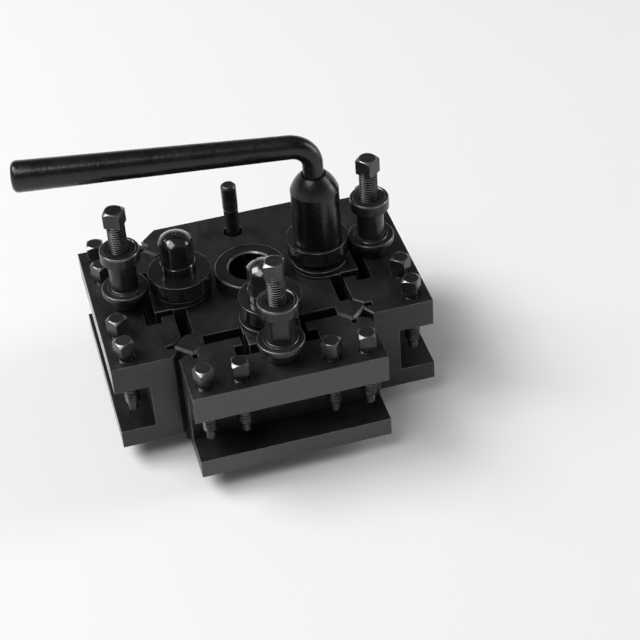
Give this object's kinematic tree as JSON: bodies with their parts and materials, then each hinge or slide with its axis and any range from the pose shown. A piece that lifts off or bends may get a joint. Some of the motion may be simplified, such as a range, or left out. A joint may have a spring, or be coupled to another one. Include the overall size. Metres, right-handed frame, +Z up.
{
  "type": "quick change tool post",
  "caption": "Lathe tool post with vee-ridged faces, cam-driven tee clamps, slotted tool holders with height nuts, and a cranked socket wrench.",
  "frame": {"origin": "bottom centre of the whole assembly's bounding box, on the surface that the post stands on", "axes": "+Z up along the post's bore; +X towards the right-hand holder, which carries the wrench; +Y towards the plain back face"},
  "size_m": [0.2362, 0.1696, 0.1769],
  "materials": {
    "post_black_oxide": "satin black oxide on milled steel, brighter along its edges",
    "holder_black_oxide": "satin black oxide with a finer, greyer ground look on the outer bars",
    "clamp_black_oxide": "satin black oxide",
    "nut_black_oxide": "turned black oxide with fine lathe rings",
    "bush_dark_steel": "turned black oxide, smooth",
    "cam_bronzed_black": "black oxide with a faint brown tint, glossier on the dome",
    "screw_dark_steel": "dark oiled steel, semi-gloss",
    "spring_steel": "dark spring steel",
    "wrench_forged_black": "forged steel under a glossy black finish with a fine speckle"
  },
  "bodies": {
    "post": {"post_block": "post_black_oxide", "centre_bush": "bush_dark_steel"},
    "index_pin": {"index_pin": "screw_dark_steel"},
    "cam_left": {"cam_left": "cam_bronzed_black", "cam_ring_left": "spring_steel"},
    "clamp_left": {"clamp_left": "clamp_black_oxide"},
    "holder_left": {"holder_left": "holder_black_oxide"},
    "height_nut_left": {"height_nut_left": "nut_black_oxide"},
    "height_stud_left": {"height_stud_left": "screw_dark_steel"},
    "tool_screw_left_1": {"tool_screw_left_1": "screw_dark_steel"},
    "tool_screw_left_2": {"tool_screw_left_2": "screw_dark_steel"},
    "tool_screw_left_3": {"tool_screw_left_3": "screw_dark_steel"},
    "tool_screw_left_4": {"tool_screw_left_4": "screw_dark_steel"},
    "cam_front": {"cam_front": "cam_bronzed_black", "cam_ring_front": "spring_steel"},
    "clamp_front": {"clamp_front": "clamp_black_oxide"},
    "holder_front": {"holder_front": "holder_black_oxide"},
    "height_nut_front": {"height_nut_front": "nut_black_oxide"},
    "height_stud_front": {"height_stud_front": "screw_dark_steel"},
    "tool_screw_front_1": {"tool_screw_front_1": "screw_dark_steel"},
    "tool_screw_front_2": {"tool_screw_front_2": "screw_dark_steel"},
    "tool_screw_front_3": {"tool_screw_front_3": "screw_dark_steel"},
    "tool_screw_front_4": {"tool_screw_front_4": "screw_dark_steel"},
    "cam_right": {"cam_right": "cam_bronzed_black", "cam_ring_right": "spring_steel"},
    "clamp_right": {"clamp_right": "clamp_black_oxide"},
    "holder_right": {"holder_right": "holder_black_oxide"},
    "height_nut_right": {"height_nut_right": "nut_black_oxide"},
    "height_stud_right": {"height_stud_right": "screw_dark_steel"},
    "tool_screw_right_1": {"tool_screw_right_1": "screw_dark_steel"},
    "tool_screw_right_2": {"tool_screw_right_2": "screw_dark_steel"},
    "tool_screw_right_3": {"tool_screw_right_3": "screw_dark_steel"},
    "tool_screw_right_4": {"tool_screw_right_4": "screw_dark_steel"},
    "wrench": {"wrench_socket": "wrench_forged_black", "wrench_rod": "wrench_forged_black"}
  },
  "joints": [
    {"name": "pin_lift", "type": "slide", "parent": "post", "child": "index_pin", "axis": [0, 0, 1], "range_m": [0, 0.078]},
    {"name": "cam_left_turn", "type": "hinge", "parent": "post", "child": "cam_left", "pos_m": [-0.0282, 0.01645, 0.077], "axis": [0, 0, 1], "range_deg": [0, 45]},
    {"name": "clamp_left_slide", "type": "slide", "parent": "post", "child": "clamp_left", "axis": [-1, 0, 0], "range_m": [0, 0.00155]},
    {"name": "holder_left_lift", "type": "slide", "parent": "post", "child": "holder_left", "axis": [0, 0, 1], "range_m": [-0.008, 0.034]},
    {"name": "height_nut_left_travel", "type": "slide", "parent": "holder_left", "child": "height_nut_left", "axis": [0, 0, 1], "range_m": [0, 0.018]},
    {"name": "height_stud_left_turn", "type": "hinge", "parent": "holder_left", "child": "height_stud_left", "pos_m": [-0.0627, 0.01645, 0.077], "axis": [0, 0, 1], "continuous": true},
    {"name": "tool_screw_left_1_travel", "type": "slide", "parent": "holder_left", "child": "tool_screw_left_1", "axis": [0, 0, 1], "range_m": [-0.004, 0.02]},
    {"name": "tool_screw_left_2_travel", "type": "slide", "parent": "holder_left", "child": "tool_screw_left_2", "axis": [0, 0, 1], "range_m": [-0.004, 0.02]},
    {"name": "tool_screw_left_3_travel", "type": "slide", "parent": "holder_left", "child": "tool_screw_left_3", "axis": [0, 0, 1], "range_m": [-0.004, 0.02]},
    {"name": "tool_screw_left_4_travel", "type": "slide", "parent": "holder_left", "child": "tool_screw_left_4", "axis": [0, 0, 1], "range_m": [-0.004, 0.02]},
    {"name": "cam_front_turn", "type": "hinge", "parent": "post", "child": "cam_front", "pos_m": [0.0168, -0.02855, 0.077], "axis": [0, 0, 1], "range_deg": [0, 45]},
    {"name": "clamp_front_slide", "type": "slide", "parent": "post", "child": "clamp_front", "axis": [0, -1, 0], "range_m": [0, 0.00155]},
    {"name": "holder_front_lift", "type": "slide", "parent": "post", "child": "holder_front", "axis": [0, 0, 1], "range_m": [-0.008, 0.066]},
    {"name": "height_nut_front_travel", "type": "slide", "parent": "holder_front", "child": "height_nut_front", "axis": [0, 0, 1], "range_m": [0, 0.018]},
    {"name": "height_stud_front_turn", "type": "hinge", "parent": "holder_front", "child": "height_stud_front", "pos_m": [0.0168, -0.06305, 0.077], "axis": [0, 0, 1], "continuous": true},
    {"name": "tool_screw_front_1_travel", "type": "slide", "parent": "holder_front", "child": "tool_screw_front_1", "axis": [0, 0, 1], "range_m": [-0.004, 0.02]},
    {"name": "tool_screw_front_2_travel", "type": "slide", "parent": "holder_front", "child": "tool_screw_front_2", "axis": [0, 0, 1], "range_m": [-0.004, 0.02]},
    {"name": "tool_screw_front_3_travel", "type": "slide", "parent": "holder_front", "child": "tool_screw_front_3", "axis": [0, 0, 1], "range_m": [-0.004, 0.02]},
    {"name": "tool_screw_front_4_travel", "type": "slide", "parent": "holder_front", "child": "tool_screw_front_4", "axis": [0, 0, 1], "range_m": [-0.004, 0.02]},
    {"name": "cam_right_turn", "type": "hinge", "parent": "post", "child": "cam_right", "pos_m": [0.0618, 0.01645, 0.077], "axis": [0, 0, 1], "range_deg": [0, 45]},
    {"name": "clamp_right_slide", "type": "slide", "parent": "post", "child": "clamp_right", "axis": [1, 0, 0], "range_m": [0, 0.00155]},
    {"name": "holder_right_lift", "type": "slide", "parent": "post", "child": "holder_right", "axis": [0, 0, 1], "range_m": [-0.008, 0.066]},
    {"name": "height_nut_right_travel", "type": "slide", "parent": "holder_right", "child": "height_nut_right", "axis": [0, 0, 1], "range_m": [0, 0.018]},
    {"name": "height_stud_right_turn", "type": "hinge", "parent": "holder_right", "child": "height_stud_right", "pos_m": [0.0963, 0.01645, 0.077], "axis": [0, 0, 1], "continuous": true},
    {"name": "tool_screw_right_1_travel", "type": "slide", "parent": "holder_right", "child": "tool_screw_right_1", "axis": [0, 0, 1], "range_m": [-0.004, 0.02]},
    {"name": "tool_screw_right_2_travel", "type": "slide", "parent": "holder_right", "child": "tool_screw_right_2", "axis": [0, 0, 1], "range_m": [-0.004, 0.02]},
    {"name": "tool_screw_right_3_travel", "type": "slide", "parent": "holder_right", "child": "tool_screw_right_3", "axis": [0, 0, 1], "range_m": [-0.004, 0.02]},
    {"name": "tool_screw_right_4_travel", "type": "slide", "parent": "holder_right", "child": "tool_screw_right_4", "axis": [0, 0, 1], "range_m": [-0.004, 0.02]},
    {"name": "wrench_lift", "type": "slide", "parent": "cam_right", "child": "wrench", "axis": [0, 0, 1], "range_m": [0, 0.029]}
  ],
  "couplings": [
    {"joint": "clamp_left_slide", "follows": "cam_left_turn", "m_per_rad": 0.001948},
    {"joint": "clamp_front_slide", "follows": "cam_front_turn", "m_per_rad": 0.001948},
    {"joint": "clamp_right_slide", "follows": "cam_right_turn", "m_per_rad": 0.001948}
  ]
}
